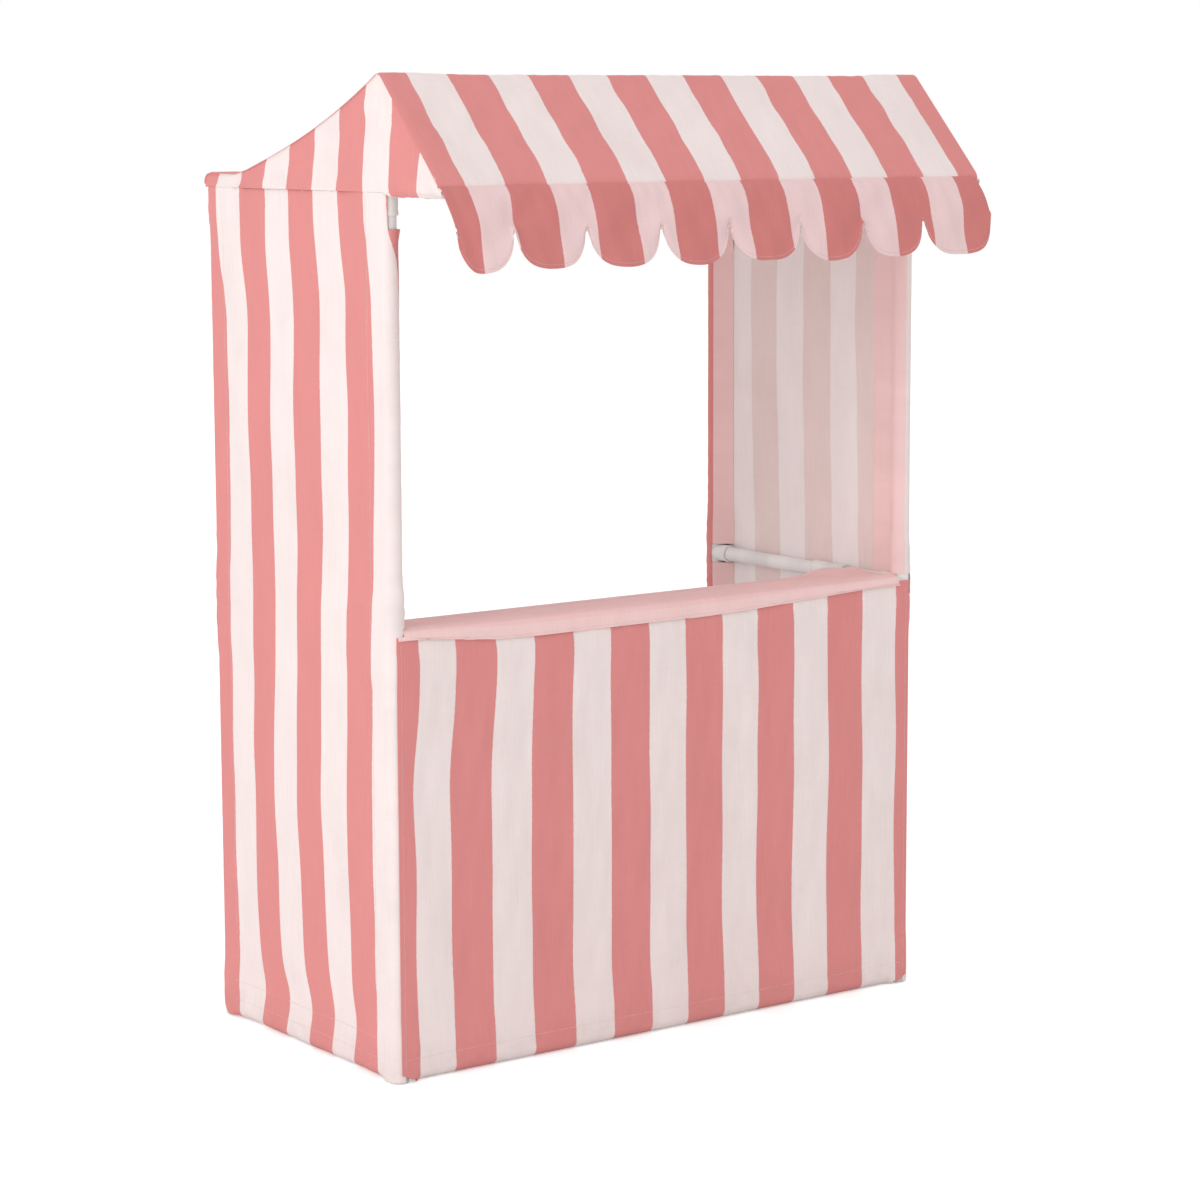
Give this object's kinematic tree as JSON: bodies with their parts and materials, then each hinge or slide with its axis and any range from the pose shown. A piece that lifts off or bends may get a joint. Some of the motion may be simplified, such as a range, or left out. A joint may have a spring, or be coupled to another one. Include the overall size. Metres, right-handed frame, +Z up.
{
  "type": "children's play market stall",
  "caption": "Free-standing play stall: striped cloth side panels, front panel, counter cover and scalloped awning over an open frame of push-fit tubes, open at the back.",
  "frame": {"origin": "bottom centre of the whole stall, at floor level, valance included", "axes": "+Z up, -Y the counter and awning side, +Y the open back, +X to the right seen from the front"},
  "size_m": [0.8646, 0.5932, 1.2693],
  "materials": {
    "tube": "satin warm white",
    "connector": "moulded white",
    "striped_cloth": "woven polyester, broad rose and pale pink stripes",
    "plain_cloth": "woven polyester, plain pink"
  },
  "bodies": {
    "root": {"leg_front_left": "tube", "leg_front_right": "tube", "leg_back_left": "tube", "leg_back_right": "tube", "post_front_left": "tube", "post_front_right": "tube", "post_back_left": "tube", "post_back_right": "tube", "ridge_post_left": "tube", "ridge_post_right": "tube", "base_rail_front": "tube", "base_rail_left": "tube", "base_rail_right": "tube", "side_bar_left": "tube", "side_bar_right": "tube", "counter_bar_front": "tube", "counter_bar_back": "tube", "eave_rail_back": "tube", "eave_rail_left": "tube", "eave_rail_right": "tube", "awning_arm_left": "tube", "awning_arm_right": "tube", "awning_bar": "tube", "ridge_bar": "tube", "base_corners_front": "connector", "base_corners_back": "connector", "counter_joints_front": "connector", "counter_joints_back": "connector", "counter_tees": "connector", "eave_joints_front": "connector", "eave_corners_back": "connector", "awning_corners": "connector", "ridge_corners": "connector", "side_panel_left": "striped_cloth", "side_panel_right": "striped_cloth", "gable_left": "striped_cloth", "gable_right": "striped_cloth", "front_panel": "striped_cloth", "counter_cover": "plain_cloth", "roof_back": "striped_cloth", "roof_front": "striped_cloth", "valance": "striped_cloth"}
  },
  "joints": []
}
